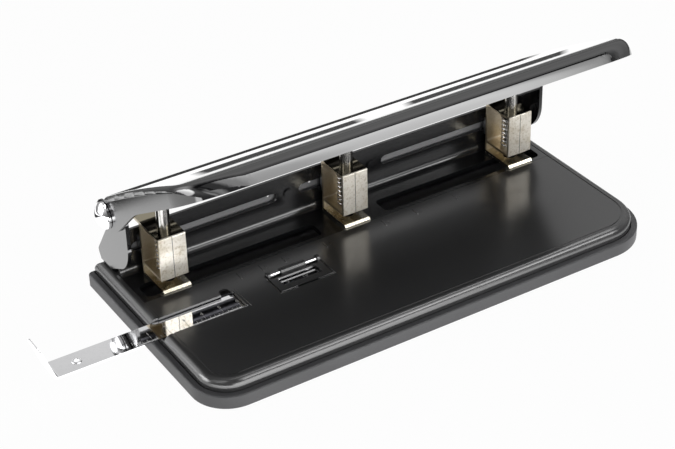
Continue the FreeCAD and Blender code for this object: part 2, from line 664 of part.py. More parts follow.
def side_bracket(side):
    """Upright plate that carries the pivot, on a foot turned inwards."""
    flat_from = PLATE_TOP + BRACKET_FOOT_BEND
    plate = across(outline([
        (BRACKET_FOOT_FRONT, flat_from, 6.0),
        (BRACKET_FRONT, flat_from + BRACKET_CHEEK_RISE, BRACKET_FRONT_ROUND),
        (BRACKET_FRONT, PIVOT_Z + BRACKET_CREST_FRONT, 2.5),
        (PIVOT_Y, PIVOT_Z + BRACKET_CREST, 0),
        (PIVOT_Y + BRACKET_NAPE, PIVOT_Z, 3.0),
        (PIVOT_Y + BRACKET_WAIST, PIVOT_Z - BRACKET_WAIST_DROP, 4.0),
        (BRACKET_REAR, flat_from + BRACKET_HEEL_RISE, 3.0),
        (BRACKET_FOOT_REAR, flat_from, 2.0),
    ], upright), BRACKET_INNER, BRACKET_OUTER)
    boss = rod(BRACKET_BOSS, V(BRACKET_INNER, PIVOT_Y, PIVOT_Z), V(BRACKET_OUTER, PIVOT_Y, PIVOT_Z))
    r = BRACKET_FOOT_BEND
    toe = BRACKET_INNER - BRACKET_FOOT_WIDTH
    section = outline([
        (BRACKET_OUTER, flat_from + 1, 0),
        (BRACKET_OUTER, PLATE_TOP, r),
        (toe, PLATE_TOP, 0),
        (toe, PLATE_TOP + BRACKET_SHEET, 0),
        (BRACKET_INNER, PLATE_TOP + BRACKET_SHEET, r - BRACKET_SHEET),
        (BRACKET_INNER, flat_from + 1, 0),
    ], facing)
    deep = BRACKET_FOOT_REAR - BRACKET_FOOT_FRONT
    foot = section.translated(V(0, BRACKET_FOOT_FRONT, 0)).extrude(V(0, deep, 0))
    holes = [rod(SCREW_RADIUS + PIN_PLAY, p - V(0, 0, 1), p + V(0, 0, 9)) for p in screw_places(1)]
    holes.append(rod(ROD_RADIUS + PIN_PLAY, V(BRACKET_INNER - 1, PIVOT_Y, PIVOT_Z),
                     V(BRACKET_OUTER + 1, PIVOT_Y, PIVOT_Z)))
    bracket = plate.fuse([boss, foot]).removeSplitter().cut(holes)
    if side > 0:
        return bracket
    return bracket.mirror(V(0, 0, 0), V(1, 0, 0))


def bracket_screws():
    """Pan-head screws that hold the bracket feet to the plate."""
    screws = []
    for side in SIDES.values():
        for p in screw_places(side):
            seat = p + V(0, 0, BRACKET_SHEET)
            head = rod(SCREW_HEAD_RADIUS, seat, seat + V(0, 0, SCREW_HEAD_HEIGHT))
            top = seat.z + SCREW_HEAD_HEIGHT
            head = head.makeFillet(SCREW_ROUND, ring_edges(head, top))
            shank = rod(SCREW_RADIUS, p - V(0, 0, PLATE_SHEET + SCREW_TAIL), seat)
            arm = SCREW_CROSS_REACH
            slit = SCREW_CROSS_WIDTH / 2
            cross = [box(p.x - a, p.x + a, p.y - b, p.y + b, top - SCREW_CROSS_DEPTH, top + 1)
                     for a, b in ((arm, slit), (slit, arm))]
            screws.append(head.fuse(shank).removeSplitter().cut(cross))
    return Part.makeCompound(screws)


def pivot_rod():
    """Rod through both brackets and both lever flanges."""
    end = LEVER_HALF + ROD_END
    return rod(ROD_RADIUS, V(-end, PIVOT_Y, PIVOT_Z), V(end, PIVOT_Y, PIVOT_Z))


def pivot_cap(side):
    """Domed push cap on the end of the rod."""
    inner = LEVER_HALF + CAP_GAP
    rim = inner + CAP_SHEET
    top = rim + CAP_DOME
    start = V(inner, 0, 0)
    corner = V(inner, CAP_RADIUS, 0)
    edge = V(rim, CAP_RADIUS, 0)
    apex = V(top, 0, 0)
    sphere = (CAP_RADIUS ** 2 + CAP_DOME ** 2) / (2 * CAP_DOME)
    turn = math.asin(CAP_RADIUS / sphere) / 2
    middle = V(top - sphere + sphere * math.cos(turn), sphere * math.sin(turn), 0)
    wire = Part.Wire([
        Part.LineSegment(start, corner).toShape(),
        Part.LineSegment(corner, edge).toShape(),
        Part.Arc(edge, middle, apex).toShape(),
        Part.LineSegment(apex, start).toShape(),
    ])
    cap = Part.Face(wire).revolve(V(0, 0, 0), V(1, 0, 0), 360).translated(V(0, PIVOT_Y, PIVOT_Z))
    bore = rod(ROD_RADIUS + PIN_PLAY, V(inner - 1, PIVOT_Y, PIVOT_Z), V(LEVER_HALF + ROD_END + PIN_PLAY,
               PIVOT_Y, PIVOT_Z))
    cap = cap.cut(bore)
    if side > 0:
        return cap
    return cap.mirror(V(0, 0, 0), V(1, 0, 0))


# ---- lever, drawn level and then raised about the pivot

def lever_point(ahead, above, x=0.0):
    """Point of the level lever from its distance ahead of and above the pivot."""
    return V(x, PIVOT_Y - ahead, PIVOT_Z + above)


def lever_height(ahead, inset):
    """Height of the crowned top above the pivot."""
    crown = LEVER_CROWN_RADIUS - inset
    return LEVER_CREST_HEIGHT - inset - crown + math.sqrt(crown ** 2 - (ahead - LEVER_CREST_AT) ** 2)


def lever_block(inset):
    """Solid inside the lever's skin: crowned top whose edge rolls wider towards the front."""
    deep = -LEVER_SKIRT
    rear = LEVER_REAR + inset
    front = LEVER_FRONT - inset
    a, b, c = [lever_point(x, lever_height(x, inset)) for x in (rear, (rear + front) / 2, front)]
    d = lever_point(front, deep)
    e = lever_point(rear, deep)
    profile = Part.Face(Part.Wire([
        Part.Arc(a, b, c).toShape(),
        Part.LineSegment(c, d).toShape(),
        Part.LineSegment(d, e).toShape(),
        Part.LineSegment(e, a).toShape(),
    ]))
    half = LEVER_HALF - inset
    r = LEVER_CORNER - inset
    y_front = PIVOT_Y - front
    y_rear = PIVOT_Y - rear
    plan = slab(outline([(-half, y_front, r), (half, y_front, r), (half, y_rear, 0), (-half, y_rear, 0)]),
                PIVOT_Z + deep, PIVOT_Z + LEVER_CREST_HEIGHT + OVERCUT)
    block = across(profile, -half, half).common(plan)
    slim = LEVER_EDGE - inset
    reach = {y_rear: slim, y_front + r: slim, y_front: LEVER_EDGE_FRONT - inset}
    return graded_fillet(block, PIVOT_Z + deep + 5, reach)


def graded_fillet(block, above, radii):
    """Round the edges above a height; each end takes the radius given for the nearest Y."""
    edges = []
    for number, edge in enumerate(block.Edges, 1):
        if edge.BoundBox.ZMin < above:
            continue
        ends = [edge.valueAt(at).y for at in (edge.FirstParameter, edge.LastParameter)]
        if edge.Orientation == "Reversed":
            ends.reverse()
        first, last = [radii[min(radii, key=lambda y: abs(y - end))] for end in ends]
        edges.append((number, first, last))
    doc = FreeCAD.newDocument("rounding")
    plain = doc.addObject("Part::Feature", "plain")
    plain.Shape = block
    rounded = doc.addObject("Part::Fillet", "rounded")
    rounded.Base = plain
    rounded.Edges = edges
    doc.recompute()
    shape = rounded.Shape.copy()
    FreeCAD.closeDocument(doc.Name)
    return shape


def lever_silhouette():
    """Side outline that trims the flanges: lobe, neck and rising lower edge."""
    high = LEVER_CREST_HEIGHT + OVERCUT
    corners = [
        (LEVER_REAR, LEVER_LOBE_BOTTOM, 0),
        (LEVER_NECK_START, LEVER_LOBE_BOTTOM, LEVER_LOBE_ROUND),
        (LEVER_NECK_END, LEVER_NECK_HEIGHT, LEVER_NECK_ROUND),
        (LEVER_FRONT + 1, LEVER_LIP_HEIGHT, 0),
        (LEVER_FRONT + 1, high, 0),
        (LEVER_REAR, high, 0),
    ]
    return outline([(PIVOT_Y - a, PIVOT_Z + b, r) for a, b, r in corners], upright)


def lever_lobe(side):
    """End of a flange, round the pivot."""
    r = LEVER_LOBE
    x0 = LEVER_HALF - LEVER_SHEET
    plate = across(outline([(PIVOT_Y - a, PIVOT_Z + b, q) for a, b, q in (
        (-r, LEVER_LOBE_BOTTOM, 8.0),
        (LEVER_REAR + 3, LEVER_LOBE_BOTTOM, 0),
        (LEVER_REAR + 3, LEVER_REAR_HEIGHT - LEVER_EDGE, 0),
        (-LEVER_LOBE_SHOULDER, LEVER_LOBE_TOP, 5.0),
        (-r, LEVER_REAR_HEIGHT - LEVER_LOBE_SHOULDER, 4.0),
    )], upright), x0, LEVER_HALF)
    if side > 0:
        return plate
    return plate.mirror(V(0, 0, 0), V(1, 0, 0))


def lever():
    """Full-width pressed lever in its raised place."""
    skin = lever_block(0).cut(lever_block(LEVER_SHEET))
    skin = skin.common(across(lever_silhouette(), -LEVER_HALF - 1, LEVER_HALF + 1))
    rear = PIVOT_Y - LEVER_REAR - LEVER_SHEET
    top = PIVOT_Z + LEVER_REAR_HEIGHT + 1
    under_wall = box(-LEVER_HALF + LEVER_SHEET, LEVER_HALF - LEVER_SHEET, rear - 0.5, PIVOT_Y + 5,
                     PIVOT_Z - OVERCUT, PIVOT_Z + LEVER_REAR_WALL)
    cuts = [under_wall]
    for side in SIDES.values():
        x = sorted((side * LEVER_REAR_WALL_HALF, side * (LEVER_HALF - LEVER_SHEET)))
        cuts.append(box(x[0], x[1], rear - 0.5, PIVOT_Y + 5, PIVOT_Z - OVERCUT, top))
    skin = skin.cut(cuts)
    whole = skin.fuse([lever_lobe(1), lever_lobe(-1)]).removeSplitter()
    end = LEVER_HALF + 1
    bore = rod(ROD_RADIUS + HINGE_FIT, V(-end, PIVOT_Y, PIVOT_Z), V(end, PIVOT_Y, PIVOT_Z))
    return whole.cut(bore).rotated(V(0, PIVOT_Y, PIVOT_Z), V(1, 0, 0), -LEVER_TILT)


# ---- paper guide

def paper_guide():
    """Flat strip with a tall stop turned up and leaning out at its outer end."""
    section = outline([
        (GUIDE_RIGHT, GUIDE_BOTTOM, GUIDE_EDGE_ROUND),
        (GUIDE_RIGHT, GUIDE_TOP, GUIDE_EDGE_ROUND),
        (GUIDE_LEFT + GUIDE_SHEET, GUIDE_TOP, GUIDE_BEND),
        (GUIDE_LEFT + GUIDE_SHEET - GUIDE_TAB_LEAN, GUIDE_TOP + GUIDE_TAB, GUIDE_EDGE_ROUND),
        (GUIDE_LEFT - GUIDE_TAB_LEAN, GUIDE_TOP + GUIDE_TAB, GUIDE_EDGE_ROUND),
        (GUIDE_LEFT, GUIDE_BOTTOM, GUIDE_BEND + GUIDE_SHEET),
    ], facing)
    low = GUIDE_REAR - GUIDE_WIDTH
    strip = section.translated(V(0, low, 0)).extrude(V(0, GUIDE_WIDTH, 0))
    eye = rod(GUIDE_EYE_RADIUS, V(GUIDE_EYE_X, GUIDE_MIDDLE, GUIDE_BOTTOM - 1),
              V(GUIDE_EYE_X, GUIDE_MIDDLE, GUIDE_TOP + 1))
    top = GUIDE_TOP + GUIDE_TAB
    rounded = across(outline([
        (low, GUIDE_BOTTOM, 0),
        (GUIDE_REAR, GUIDE_BOTTOM, 0),
        (GUIDE_REAR, top, GUIDE_TAB_ROUND),
        (low, top, GUIDE_TAB_ROUND),
    ], upright), GUIDE_LEFT - GUIDE_TAB_LEAN - 5, GUIDE_RIGHT + 5)
    return strip.common(rounded).cut(eye)


def guide_track():
    """Channel under the plate in which the guide slides."""
    half = GUIDE_WIDTH / 2 + GUIDE_PLAY
    low = GUIDE_BOTTOM - GUIDE_PLAY
    outer = box(TRACK_LEFT, TRACK_RIGHT, GUIDE_MIDDLE - half - TRACK_SHEET, GUIDE_MIDDLE + half + TRACK_SHEET,
                low - TRACK_SHEET, PLATE_UNDERSIDE)
    inner = box(TRACK_LEFT - 1, TRACK_RIGHT + 1, GUIDE_MIDDLE - half, GUIDE_MIDDLE + half, low, PLATE_TOP)
    relief = box(WINDOW_LEFT, WINDOW_RIGHT, GUIDE_MIDDLE, GUIDE_MIDDLE + half + TRACK_SHEET + 1,
                 GUIDE_TOP - TRACK_RELIEF, PLATE_TOP)
    return outer.cut([inner, relief])


def guide_lock():
    """Flap that lies on the guide, with a sight opening, a pad and two hinge ears."""
    top = PLATE_TOP
    low = top - LOCK_SHEET
    rear = HINGE_Y - KNUCKLE_RADIUS - SLIDE_GAP
    leaf = box(LOCK_LEFT, LOCK_RIGHT, LOCK_FRONT, rear, low, top)
    cuts = [slab(outline([
        (LOCK_LEFT + LOCK_SIGHT_SIDE, LOCK_SIGHT_FRONT, LOCK_SIGHT_ROUND),
        (LOCK_RIGHT - LOCK_SIGHT_SIDE, LOCK_SIGHT_FRONT, LOCK_SIGHT_ROUND),
        (LOCK_RIGHT - LOCK_SIGHT_SIDE, LOCK_SIGHT_REAR, LOCK_SIGHT_ROUND),
        (LOCK_LEFT + LOCK_SIGHT_SIDE, LOCK_SIGHT_REAR, LOCK_SIGHT_ROUND),
    ]), low - 1, top + 1)]
    middle = (LOCK_LEFT + LOCK_RIGHT) / 2
    cuts.append(box(middle - LOCK_NOTCH / 2, middle + LOCK_NOTCH / 2, LOCK_FRONT - 1,
                    LOCK_FRONT + LOCK_NOTCH_DEPTH, low - 1, top + 1))
    pad = box(LOCK_LEFT + LOCK_SIGHT_SIDE, LOCK_RIGHT - LOCK_SIGHT_SIDE, LOCK_SIGHT_FRONT - LOCK_PAD_DEPTH,
              LOCK_SIGHT_FRONT, GUIDE_TOP + LOCK_PAD_GAP, low)
    leaf = leaf.cut(cuts).fuse(pad)
    bore = rod(HINGE_PIN_RADIUS + HINGE_FIT, V(LOCK_LEFT - 1, HINGE_Y, HINGE_Z),
               V(LOCK_RIGHT + 1, HINGE_Y, HINGE_Z))
    for x in (LOCK_LEFT, LOCK_RIGHT - LOCK_EAR):
        ring = rod(KNUCKLE_RADIUS, V(x, HINGE_Y, HINGE_Z), V(x + LOCK_EAR, HINGE_Y, HINGE_Z))
        arm = box(x, x + LOCK_EAR, rear - 1, HINGE_Y, low, top)
        leaf = leaf.fuse([ring, arm])
    return leaf.removeSplitter().cut(bore)


def lock_pin():
    """Pin through the plate's knuckle and the flap's ears."""
    return rod(HINGE_PIN_RADIUS, V(LOCK_LEFT, HINGE_Y, HINGE_Z), V(LOCK_RIGHT, HINGE_Y, HINGE_Z))


def main():
    """Build every node and write it."""
    os.makedirs("parts", exist_ok=True)
    save("base_tray", base_tray())
    save("base_plate", base_plate())
    save("punch_rail", punch_rail())
    save("index_strip", index_strip())
    save("strip_rivets", strip_rivets())
    save("bracket_screws", bracket_screws())
    save("pivot_rod", pivot_rod())
    save("lever", lever())
    save("paper_guide", paper_guide())
    save("guide_track", guide_track())
    save("guide_lock", guide_lock())
    save("guide_lock_pin", lock_pin())
    for name, side in SIDES.items():
        save("bracket_" + name, side_bracket(side))
        save("pivot_cap_" + name, pivot_cap(side))
    for name, x in HEAD_PLACES.items():
        save("head_" + name, head_bracket(x))
        save("die_" + name, die_plate(x))
        save("punch_" + name, punch_pin(x))
        save("clip_" + name, pin_clip(x))
        save("spring_" + name, pin_spring(x))
        save("slide_block_" + name, slide_block(x))


main()
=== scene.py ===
"""Looks of a desk three-hole punch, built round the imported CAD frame.

Everything is in metres in the frame of the CAD model: +X runs along the length to the
right, +Y to the back, +Z up, and the origin is on the table under the middle of the tray.
"""

import json
import logging
import math
from dataclasses import dataclass
from enum import Enum
from typing import Any, Iterable, Sequence, Union

import bpy
from mathutils import Matrix, Vector

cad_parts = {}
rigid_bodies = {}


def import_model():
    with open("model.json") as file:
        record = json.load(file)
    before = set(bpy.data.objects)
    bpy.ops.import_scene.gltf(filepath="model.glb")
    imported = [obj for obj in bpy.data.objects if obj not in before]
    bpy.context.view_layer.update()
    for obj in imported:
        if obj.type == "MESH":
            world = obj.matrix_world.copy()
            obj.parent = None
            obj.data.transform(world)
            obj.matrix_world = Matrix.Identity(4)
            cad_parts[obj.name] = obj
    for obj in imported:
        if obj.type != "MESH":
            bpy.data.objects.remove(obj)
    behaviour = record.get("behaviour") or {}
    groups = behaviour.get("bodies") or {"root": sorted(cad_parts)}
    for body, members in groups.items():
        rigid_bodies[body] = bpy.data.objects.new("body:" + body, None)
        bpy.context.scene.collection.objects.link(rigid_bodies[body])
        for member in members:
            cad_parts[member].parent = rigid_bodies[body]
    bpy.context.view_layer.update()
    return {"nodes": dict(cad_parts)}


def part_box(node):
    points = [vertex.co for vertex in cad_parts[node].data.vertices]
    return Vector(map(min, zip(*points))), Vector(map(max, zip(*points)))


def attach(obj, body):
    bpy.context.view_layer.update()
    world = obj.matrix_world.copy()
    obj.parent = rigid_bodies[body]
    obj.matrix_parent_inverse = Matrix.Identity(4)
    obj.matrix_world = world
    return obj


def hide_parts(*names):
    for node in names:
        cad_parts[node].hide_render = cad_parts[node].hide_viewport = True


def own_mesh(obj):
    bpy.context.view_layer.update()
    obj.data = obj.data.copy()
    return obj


for _stale in list(bpy.data.objects):
    bpy.data.objects.remove(_stale)
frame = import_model()

LOG = logging.getLogger("punch")
MM = 0.001
Number = Union[float, "Wire"]
Pair = tuple[float, float]
Triple = tuple[float, float, float]
Stops = Sequence[tuple[float, Triple]]


# ---------------------------------------------------------------- shader helpers

class Wire:
    """An output socket that can be used in Python arithmetic."""

    def __init__(self, graph: "Graph", socket: bpy.types.NodeSocket) -> None:
        """Keep the graph and the socket.

        Args:
            graph: The graph that new nodes are added to.
            socket: The output socket to calculate with.
        """
        self.graph = graph
        self.socket = socket

    def _math(self, operation: str, *values: Number) -> "Wire":
        """Add a Math node.

        Args:
            operation: The node's operation.
            values: Its inputs, in order.

        Returns:
            The node's result.
        """
        inputs = dict(enumerate(values))
        return self.graph.node("ShaderNodeMath", {"operation": operation}, inputs)["Value"]

    def __add__(self, other: Number) -> "Wire":
        """Sum."""
        return self._math("ADD", self, other)

    __radd__ = __add__

    def __sub__(self, other: Number) -> "Wire":
        """Difference."""
        return self._math("SUBTRACT", self, other)

    def __rsub__(self, other: Number) -> "Wire":
        """Difference, the other way round."""
        return self._math("SUBTRACT", other, self)

    def __mul__(self, other: Number) -> "Wire":
        """Product."""
        return self._math("MULTIPLY", self, other)

    __rmul__ = __mul__

    def __abs__(self) -> "Wire":
        """Size without sign."""
        return self._math("ABSOLUTE", self)

    def clamped(self) -> "Wire":
        """This value kept between zero and one."""
        return self.graph.node("ShaderNodeClamp", {}, {"Value": self})["Result"]

    def ramp(self, low: float, high: float, start: float = 0.0, end: float = 1.0) -> "Wire":
        """Map a range of this value to another, clamped.

        Args:
            low: Value that gives start.
            high: Value that gives end.
            start: Result at low.
            end: Result at high.

        Returns:
            The mapped value.
        """
        inputs = {"Value": self, "From Min": low, "From Max": high,
                  "To Min": start, "To Max": end}
        return self.graph.node("ShaderNodeMapRange", {"clamp": True}, inputs)["Result"]


class Graph:
    """The node tree of one material or of the world, built by calls."""

    def __init__(self, name: str, world: bpy.types.World | None = None) -> None:
        """Start a tree with only its output node.

        Args:
            name: Name of the new material, not used for a world.
            world: The world that the tree belongs to, or nothing for a new material.
        """
        self.material = world or bpy.data.materials.new(name)
        self.material.use_nodes = True
        self.tree = self.material.node_tree
        self.tree.nodes.clear()
        self.output = self.tree.nodes.new(f"ShaderNodeOutput{'World' if world else 'Material'}")

    def node(self, kind: str, settings: dict[str, Any],
             inputs: dict[Any, Any]) -> dict[str, Wire]:
        """Add one node.

        Args:
            kind: Blender's name of the node type.
            settings: Properties, set first; a ramp's stops go under "stops".
            inputs: Values or wires by input name or number.

        Returns:
            The node's outputs by name.
        """
        made = self.tree.nodes.new(kind)
        for key, value in settings.items():
            if key == "stops":
                self._set_stops(made.color_ramp, value)
            else:
                setattr(made, key, value)
        for key, value in inputs.items():
            target = made.inputs[key]
            if isinstance(value, Wire):
                self.tree.links.new(value.socket, target)
            else:
                target.default_value = value
        return {s.name: Wire(self, s) for s in made.outputs if s.enabled}

    @staticmethod
    def _set_stops(ramp: bpy.types.ColorRamp, stops: Stops) -> None:
        """Give a colour ramp its stops.

        Args:
            ramp: The ramp.
            stops: Place and RGB colour of each stop, in order.
        """
        for element, (place, colour) in zip(ramp.elements, (stops[0], stops[-1])):
            element.position, element.color = place, (*colour, 1.0)
        for place, colour in stops[1:-1]:
            ramp.elements.new(place).color = (*colour, 1.0)

    def place(self) -> Wire:
        """Object coordinates, which are the CAD frame's metres."""
        return self.node("ShaderNodeTexCoord", {}, {})["Object"]

    def axes(self, scale: Triple = (1.0, 1.0, 1.0)) -> Wire:
        """Object coordinates, each axis multiplied.

        Args:
            scale: Factor for X, Y and Z.

        Returns:
            The scaled place.
        """
        inputs = {"Vector": self.place(), "Scale": scale}
        return self.node("ShaderNodeMapping", {}, inputs)["Vector"]

    def split(self) -> tuple[Wire, Wire, Wire]:
        """X, Y and Z of the place, in metres."""
        parts = self.node("ShaderNodeSeparateXYZ", {}, {"Vector": self.place()})
        return parts["X"], parts["Y"], parts["Z"]

    def noise(self, scale: float, detail: float, stretch: Triple = (1.0, 1.0, 1.0)) -> Wire:
        """Soft noise between about zero and one.

        Args:
            scale: Cycles per metre.
            detail: Octaves.
            stretch: Factor for each axis.

        Returns:
            The noise value.
        """
        inputs = {"Vector": self.axes(stretch), "Scale": scale, "Detail": detail}
        return self.node("ShaderNodeTexNoise", {}, inputs)["Fac"]

    def mix(self, factor: Number, first: Any, second: Any) -> Wire:
        """Mix two colours.

        Args:
            factor: How much of the second colour.
            first: Colour at zero.
            second: Colour at one.

        Returns:
            The mixed colour.
        """
        made = self.tree.nodes.new("ShaderNodeMix")
        made.data_type = "RGBA"
        for number, value in ((0, factor), (6, first), (7, second)):
            socket = made.inputs[number]
            if isinstance(value, Wire):
                self.tree.links.new(value.socket, socket)
            else:
                socket.default_value = value if isinstance(value, float) else (*value, 1.0)
        return Wire(self, made.outputs[2])

    def bump(self, height: Wire, depth: float, strength: float) -> Wire:
        """Normal bumped by a height.

        Args:
            height: Height between zero and one.
            depth: Real depth of one, in metres.
            strength: How strongly it shows.

        Returns:
            The bumped normal.
        """
        inputs = {"Height": height, "Distance": depth, "Strength": strength}
        return self.node("ShaderNodeBump", {}, inputs)["Normal"]

    def principled(self, **inputs: Any) -> Wire:
        """Add the surface shader and plug it in.

        Args:
            inputs: Its inputs, with underscores for spaces.

        Returns:
            The shader.
        """
        named = {}
        for key, value in inputs.items():
            colour = isinstance(value, tuple) and len(value) == 3
            named[key.replace("_", " ")] = (*value, 1.0) if colour else value
        shader = self.node("ShaderNodeBsdfPrincipled", {}, named)["BSDF"]
        self.tree.links.new(shader.socket, self.output.inputs["Surface"])
        return shader


# ---------------------------------------------------------------- finishes

@dataclass(frozen=True)
class Enamel:
    """Gloss black stoving enamel with a faint orange peel and fine dust."""

    name: str
    colour: Triple = (0.008, 0.008, 0.009)
    roughness: float = 0.08
    density: float = 1.8
    peel_depth: float = 0.0000015
    peel_scale: float = 700.0
    peel_strength: float = 0.6
    soft_ends: Pair | None = None
    soft: float = 0.15
    rough_share: Pair = (0.88, 1.12)
    cloud_scale: float = 28.0
    cloud_range: Pair = (0.3, 0.7)
    dust_scale: float = 2600.0
    dust_range: Pair = (0.68, 0.80)
    dust_tone: Triple = (0.030, 0.030, 0.030)
    dust_share: float = 0.25
    dust_rough: float = 0.04

    def build(self) -> bpy.types.Material:
        """Make the material."""
        g = Graph(self.name)
        dust = g.noise(self.dust_scale, 1.0).ramp(*self.dust_range)
        cloud = g.noise(self.cloud_scale, 3.0)
        colour = g.mix(dust * self.dust_share, self.colour, self.dust_tone)
        low, high = (self.roughness * share for share in self.rough_share)
        rough = cloud.ramp(*self.cloud_range, low, high) + dust * self.dust_rough
        if self.soft_ends is not None:
            rough = rough + abs(g.split()[0]).ramp(*self.soft_ends) * self.soft
        normal = g.bump(g.noise(self.peel_scale, 1.0), self.peel_depth, self.peel_strength)
        g.principled(Base_Color=colour, Roughness=rough, Normal=normal, IOR=self.density)
        return g.material


@dataclass(frozen=True)
class Plastic:
    """Dark grey moulded plastic with a fine spark-eroded grain."""

    name: str
    colour: Triple = (0.045, 0.045, 0.048)
    roughness: float = 0.46
    rough_shift: Pair = (-0.06, 0.08)
    shade: float = 0.9
    cloud_scale: float = 40.0
    cloud_range: Pair = (0.35, 0.65)
    grain_scale: float = 5200.0
    grain_range: Pair = (0.2, 0.8)
    grain_depth: float = 0.000012
    grain_strength: float = 0.5

    def build(self) -> bpy.types.Material:
        """Make the material."""
        g = Graph(self.name)
        grain = g.noise(self.grain_scale, 2.0)
        cloud = g.noise(self.cloud_scale, 3.0).ramp(*self.cloud_range)
        tone = g.mix(cloud, tuple(part * self.shade for part in self.colour), self.colour)
        low, high = (self.roughness + shift for shift in self.rough_shift)
        rough = grain.ramp(*self.grain_range, low, high)
        normal = g.bump(grain, self.grain_depth, self.grain_strength)
        g.principled(Base_Color=tone, Roughness=rough, Normal=normal)
        return g.material


@dataclass(frozen=True)
class Metal:
    """Bare or plated metal with drawn lines along one axis and a little tarnish, and on a head
    painted shade behind its front skin and a painted dark reflection on its top.
    """

    name: str
    colour: Triple
    tarnish: Triple
    roughness: float
    grain: Triple = (60.0, 60.0, 1200.0)
    depth: float = 0.000004
    strength: float = 0.5
    rough_share: Pair = (0.75, 1.3)
    lines_range: Pair = (0.25, 0.75)
    tarnish_amount: float = 0.5
    tarnish_rough: float = 0.12
    cloud_scale: float = 120.0
    cloud_range: Pair = (0.45, 0.75)
    fine_scale: float = 900.0
    fine_range: Pair = (0.5, 0.72)
    fine_share: float = 0.8
    # Where a head's front and top skins end; behind them painted shade in a darker tan, and on the
    # polished top a painted dark reflection.
    polish_from: Pair | None = None
    polish_edge: float = 0.1 * MM
    polish: float = 0.08
    polish_tone: Triple = (0.30, 0.27, 0.20)
    inside_tone: Triple = (0.46, 0.37, 0.23)
    inside_share: float = 0.7

    def build(self) -> bpy.types.Material:
        """Make the material."""
        g = Graph(self.name)
        lines = g.noise(1.0, 3.0, self.grain)
        cloud = g.noise(self.cloud_scale, 4.0).ramp(*self.cloud_range)
        fine = g.noise(self.fine_scale, 2.0).ramp(*self.fine_range)
        amount = self.tarnish_amount
        stain = cloud * amount + fine * amount * self.fine_share
        colour = g.mix(stain.clamped(), self.colour, self.tarnish)
        low, high = (self.roughness * share for share in self.rough_share)
        rough = lines.ramp(*self.lines_range, low, high) + stain * self.tarnish_rough
        # Painted shade: everything behind the front skin is mixed towards a darker tan; the
        # polished top also gets a painted dark reflection as its colour.
        if self.polish_from is not None:
            _, y, z = g.split()
            behind, above = self.polish_from
            inside = y.ramp(behind, behind + self.polish_edge)
            bright = inside * z.ramp(above, above + self.polish_edge)
            colour = g.mix(inside * self.inside_share, colour, self.inside_tone)
            rough = rough * (1.0 - bright) + bright * self.polish
            colour = g.mix(bright, colour, self.polish_tone)
        normal = g.bump(lines, self.depth, self.strength)
        g.principled(Base_Color=colour, Roughness=rough, Metallic=1.0, Normal=normal)
        return g.material


# ---------------------------------------------------------------- dressing of the CAD nodes

HEAD_FRONT_DEPTH = 0.7 * MM
HEAD_TOP_DEPTH = 0.6 * MM
HEAD_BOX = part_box("head_centre")
HEAD_SKIN = (HEAD_BOX[0][1] + HEAD_FRONT_DEPTH, HEAD_BOX[1][2] - HEAD_TOP_DEPTH)


class Finish(Enum):
    """Finish of each kind of part."""

    LEVER_ENAMEL = Enamel("lever_enamel", roughness=0.028, soft_ends=(127.0 * MM, 130.0 * MM))
    BASE_ENAMEL = Enamel("base_enamel", (0.045, 0.045, 0.046), 0.21, 1.72)
    TRAY = Plastic("tray_plastic", (0.050, 0.050, 0.053), 0.52)
    STRIP = Plastic("strip_grey", (0.30, 0.30, 0.305), 0.62)
    # Head nickel: painted shade behind the front face and a painted dark reflection on the top
    # plate.
    NICKEL = Metal("head_nickel", (0.86, 0.82, 0.74), (0.52, 0.45, 0.33), 0.42,
                   depth=0.0000015, tarnish_amount=0.7, polish_from=HEAD_SKIN)
    DIE = Metal("die_nickel", (0.80, 0.76, 0.64), (0.50, 0.45, 0.33), 0.20)
    RAIL_ENAMEL = Enamel("rail_enamel", (0.009, 0.009, 0.010), 0.21)
    EDGE_ENAMEL = Enamel("edge_enamel", (0.02, 0.02, 0.021), 0.16)
    MARKS = Plastic("etched_marks", (0.62, 0.62, 0.60), 0.5)
    # Painted shade: the dark strip laid in each head's scribed groove.
    GREASE = Plastic("painted_scribe_shade", (0.035, 0.033, 0.028), 0.4)
    BLACK_STEEL = Metal("black_steel", (0.04, 0.04, 0.045), (0.02, 0.02, 0.02), 0.3)
    TOOL_STEEL = Metal("tool_steel", (0.62, 0.61, 0.59), (0.36, 0.34, 0.31), 0.16,
                       grain=(2200.0, 2200.0, 30.0))
    ZINC = Metal("zinc_strip", (0.45, 0.46, 0.47), (0.30, 0.30, 0.31), 0.34,
                 grain=(20.0, 900.0, 900.0))
    SCREW = Metal("screw_steel", (0.40, 0.40, 0.41), (0.22, 0.22, 0.23), 0.28)
    CHROME = Metal("mirror_chrome", (0.93, 0.93, 0.94), (0.74, 0.74, 0.75), 0.025,
                   grain=(30.0, 300.0, 300.0), depth=0.0000004, tarnish_amount=0.25)


class Dresser:
    """Makes each finish once and puts it on pieces."""

    def __init__(self) -> None:
        """Start with no finish made."""
        self.made: dict[Finish, bpy.types.Material] = {}

    def material(self, finish: Finish) -> bpy.types.Material:
        """Give a finish's material, made on first use.

        Args:
            finish: The finish.

        Returns:
            Its material.
        """
        if finish not in self.made:
            self.made[finish] = finish.value.build()
        return self.made[finish]

    def dress(self, finish: Finish, nodes: Iterable[str]) -> None:
        """Put a finish on CAD nodes.

        Args:
            finish: The finish.
            nodes: Names of the nodes.
        """
        for name in nodes:
            for slot in frame["nodes"][name].material_slots:
                slot.material = self.material(finish)
            LOG.info("%s dressed in %s", name, finish.value.name)


HEAD_BODIES = {"left": "left_head", "centre": "base", "right": "right_head"}


